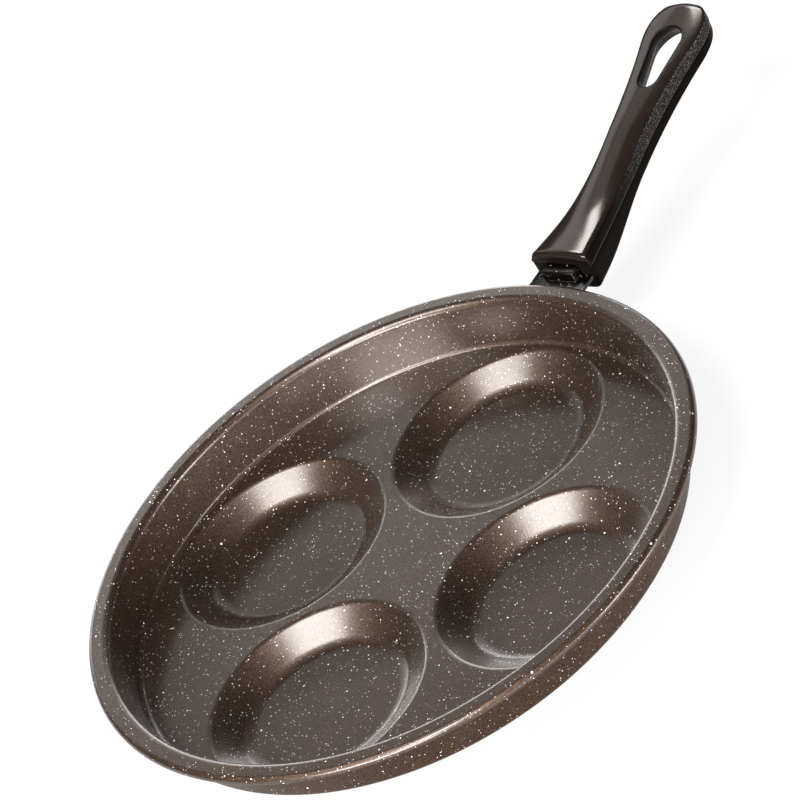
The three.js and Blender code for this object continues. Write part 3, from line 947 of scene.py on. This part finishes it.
def makeHandle():
    topShell, bottomShell = makeTopShell(), makeBottomShell()
    print("shells:", len(topShell.data.polygons), len(bottomShell.data.polygons), "faces")
    for piece, node in ((topShell, "handle_top_shell"), (bottomShell, "handle_bottom_shell")):
        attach(piece, "root")
        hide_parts(node)
    return [topShell, bottomShell]


handlePieces = makeHandle()


def makeBracketPiece():
    # the solid's own form with its cut edges broken, and the coating worn off along them
    shape = bmesh.new()
    shape.from_mesh(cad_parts["handle_bracket"].data)
    bmesh.ops.remove_doubles(shape, verts=shape.verts, dist=weld)
    flat, sharp = math.radians(bracket["flatAngle"]), math.radians(bracket["cornerAngle"])
    bmesh.ops.dissolve_limit(shape, angle_limit=flat, verts=shape.verts, edges=shape.edges)
    corners = [edge for edge in shape.edges if edge.is_manifold and edge.calc_face_angle() > sharp]
    bmesh.ops.bevel(
        shape, geom=corners, offset=bracket["edge"] * mm, segments=bracket["edgeSegments"], profile=0.5,
        affect="EDGES", clamp_overlap=True, material=1,
    )
    mesh = meshFromShape("coated_bracket", shape)
    # the bracket's faces take the darker coating that paints the handle's shade on it, and its broken edges
    # are bare steel
    for finish in (shadedBracketCoating, bareSteel):
        mesh.materials.append(finish)
    faceOutwards(mesh, bracket["sharpAngle"])
    piece = newPiece("coated_bracket", mesh)
    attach(piece, "root")
    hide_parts("handle_bracket")
    print("bracket:", len(mesh.polygons), "faces")
    return piece


bracketPiece = makeBracketPiece()


def makeTurnedTree():
    tree, given = newTree("turnedPiece", {"Turns": "Int", "Finish": "Material"})
    spun = addNode(tree, "GeometryNodeGroup", node_tree=spinTree)
    tree.links.new(given["Geometry"], spun.inputs["Geometry"])
    tree.links.new(given["Turns"], spun.inputs["Turns"])
    plated = addNode(tree, "GeometryNodeSetMaterial", {
        "Geometry": spun.outputs[0], "Material": given["Finish"],
    }).outputs[0]
    addNode(tree, "NodeGroupOutput", {"Geometry": plated})
    return tree


turnedTree = makeTurnedTree()


def makeTurned(name, node, line, place):
    piece = newPiece(name, profileMesh(name + "Profile", [line]))
    runTree(piece, turnedTree, {"Turns": fixing["turns"], "Finish": zincSteel})
    piece.data.transform(frameAt(place))
    faceOutwards(piece.data, fixing["sharpAngle"])
    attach(piece, "root")
    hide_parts(node)
    return piece


def makeWasher(place, bottom, top):
    hole, rim = fixing["screwRadius"] + fixing["fit"], fixing["headRadius"] + fixing["washerRim"]
    edge = fixing["washerEdge"]
    line = roundedLine([
        (hole, bottom), (rim, bottom, edge), (rim, top, edge), (hole, top), (hole, bottom),
    ], fixing["arcSteps"], fixing["support"])
    makeTurned(place["end"] + "_flat_washer", place["end"] + "_washer", line, place)


def makeScrew(place, headBottom, headTop):
    # pan head with a cross recess, and rings for the thread
    radius, pitch = fixing["screwRadius"], fixing["threadPitch"]
    root = radius - fixing["threadDepth"]
    line = roundedLine([
        (0, headBottom), (fixing["headRadius"], headBottom, fixing["headRound"]),
        (fixing["headRadius"], headTop, fixing["washerEdge"]), (radius, headTop),
    ], fixing["arcSteps"], fixing["support"])
    for ring in range(int((place["shankTop"] - headTop) / pitch)):
        foot = headTop + ring * pitch
        line += [(root, foot + pitch / 2), (radius, foot + pitch)]
    line += [(root, place["shankTop"]), (0, place["shankTop"])]
    screw = makeTurned(place["end"] + "_pan_head_screw", place["end"] + "_screw", line, place)
    low, high = headBottom - fixing["overlap"], headBottom + fixing["recessDepth"]
    long, half = fixing["recessLength"] / 2, fixing["recessWidth"] / 2
    arms = ((long, half), (half, long))
    cut(screw, [makeBlock("recess", (-x, -y, low), (x, y, high), frameAt(place)) for x, y in arms])


def makeFixings():
    for place in places:
        washerTop = place["seat"] - fixing["faceGap"]
        washerBottom = washerTop - fixing["washerThickness"]
        headTop = washerBottom - fixing["faceGap"]
        makeWasher(place, washerBottom, washerTop)
        makeScrew(place, headTop - fixing["headHeight"], headTop)
    for name in ("front_insert", "rear_insert"):
        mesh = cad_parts[name].data
        mesh.materials.clear()
        mesh.materials.append(brass)
    print("fixings made")


makeFixings()

# Studio: white floor, a large soft light over the pan, and low ones on the camera's side. Panels for the
# gloss to mirror are set up once for the pan and once for the handle, each set on its own pieces alone.
# Sizes are in metres, angles in degrees and power in watts
studio = dict(
    lights=dict(
        key=dict(azimuth=175.0, elevation=66.0, distance=1.3, size=(0.82, 0.37), roll=31.0, power=17.5),
        low=dict(azimuth=197.0, elevation=19.0, distance=1.3, size=(0.84, 0.18), power=22.0),
        front=dict(azimuth=-95.0, elevation=8.0, distance=1.6, size=(2.2, 0.22), power=9.0),
    ),
    panPanels=dict(
        backLow=dict(azimuth=54.0, elevation=12.0, distance=1.6, size=(1.7, 0.40), power=12.5),
        backHigh=dict(azimuth=52.0, elevation=30.0, distance=1.6, size=(1.5, 0.26), power=1.8),
        across=dict(azimuth=-74.0, elevation=6.0, distance=1.6, size=(0.7, 0.2), power=13.0),
        window=dict(azimuth=208.0, elevation=49.0, distance=1.5, size=(0.34, 0.34), power=19.0),
    ),
    handlePanels=dict(
        sheen=dict(azimuth=50.0, elevation=32.0, distance=1.6, size=(1.2, 0.32), power=1.8),
        glow=dict(azimuth=64.0, elevation=47.0, distance=1.6, size=(1.2, 0.42), power=1.2),
        strip=dict(azimuth=34.0, elevation=45.0, distance=1.5, size=(0.34, 0.2), roll=20.0, power=3.4),
    ),
    aimHeight=0.01, ambient=0.06, floorGlow=0.9, paper="#6f6f6f", floorSize=40.0, floorGap=0.0002,
)


def makeLamps(group, pieces):
    receivers = None
    if pieces:
        receivers = bpy.data.collections.new(group + "FallOn")
        for piece in pieces:
            receivers.objects.link(piece)
    for name, made in studio[group].items():
        light = bpy.data.lights.new(name + "Softbox", "AREA")
        light.shape = "RECTANGLE"
        light.size, light.size_y = made["size"]
        light.energy = made["power"]
        lamp = newPiece(name + "Softbox", light)
        azimuth, elevation = math.radians(made["azimuth"]), math.radians(made["elevation"])
        level = math.cos(elevation)
        away = Vector((math.cos(azimuth) * level, math.sin(azimuth) * level, math.sin(elevation)))
        roll = Matrix.Rotation(math.radians(made.get("roll", 0.0)), 3, away)
        lamp.location = Vector((panAxis, 0, studio["aimHeight"])) + away * made["distance"]
        lamp.rotation_euler = (roll @ away.to_track_quat("Z", "Y").to_matrix()).to_euler()
        lamp.visible_camera = False
        lamp.light_linking.receiver_collection = receivers


def makeWorld():
    world = bpy.data.worlds.new("whiteStudio")
    bpy.context.scene.world = world
    world.use_nodes = True
    tree = world.node_tree
    tree.nodes.clear()
    light = addNode(tree, "ShaderNodeBackground", {
        "Color": linear("#ffffff"), "Strength": studio["ambient"],
    }).outputs[0]
    addNode(tree, "ShaderNodeOutputWorld", {"Surface": light})


def makeFloor():
    # grey paper that takes the shadow, with a glow that makes it white to the camera and in gloss
    shape = bmesh.new()
    low = Matrix.Translation((0, 0, -studio["floorGap"]))
    bmesh.ops.create_grid(shape, x_segments=1, y_segments=1, size=studio["floorSize"], matrix=low)
    mesh = meshFromShape("studioFloor", shape)
    floor = newPiece("studioFloor", mesh)
    material, tree = newMaterial("whitePaperFloor")
    path = addNode(tree, "ShaderNodeLightPath").outputs
    seen = path["Is Camera Ray"]
    for ray in ("Is Glossy Ray", "Is Transmission Ray"):
        seen = addNode(tree, "ShaderNodeMath", {0: seen, 1: path[ray]}, operation="MAXIMUM").outputs[0]
    glow = addNode(tree, "ShaderNodeMath", {0: seen, 1: studio["floorGlow"]}, operation="MULTIPLY").outputs[0]
    paper = addNode(tree, "ShaderNodeBsdfDiffuse", {"Color": linear(studio["paper"])}).outputs[0]
    lit = addNode(tree, "ShaderNodeEmission", {"Strength": glow}).outputs[0]
    both = addNode(tree, "ShaderNodeAddShader", {0: paper, 1: lit}).outputs[0]
    addNode(tree, "ShaderNodeOutputMaterial", {"Surface": both})
    mesh.materials.append(material)


bpy.context.scene.view_settings.view_transform = "Standard"
makeLamps("lights", [])
makeLamps("panPanels", [panPiece])
makeLamps("handlePanels", [*handlePieces, bracketPiece])
makeWorld()
makeFloor()

# Camera: long lens, rolled so that the handle points up
view = dict(
    place=(-0.796877, -1.061332, 0.946349), aim=(0.011267, 0.060110, 0.010), roll=-32.4991,
    lens=185.146, sensor=36.0, clipEnd=30.0,
)


def makeCamera():
    camera = newPiece("camera", bpy.data.cameras.new("camera"))
    camera.data.lens = view["lens"]
    camera.data.sensor_width = view["sensor"]
    camera.data.clip_end = view["clipEnd"]
    place = Vector(view["place"])
    away = (Vector(view["aim"]) - place).normalized()
    level = away.cross(Vector((0, 0, 1))).normalized()
    right = Matrix.Rotation(-math.radians(view["roll"]), 3, away) @ level
    up = right.cross(away)
    turn = Matrix((right, up, -away)).transposed()
    camera.matrix_world = Matrix.Translation(place) @ turn.to_4x4()
    bpy.context.scene.camera = camera


makeCamera()
print("studio and camera set")
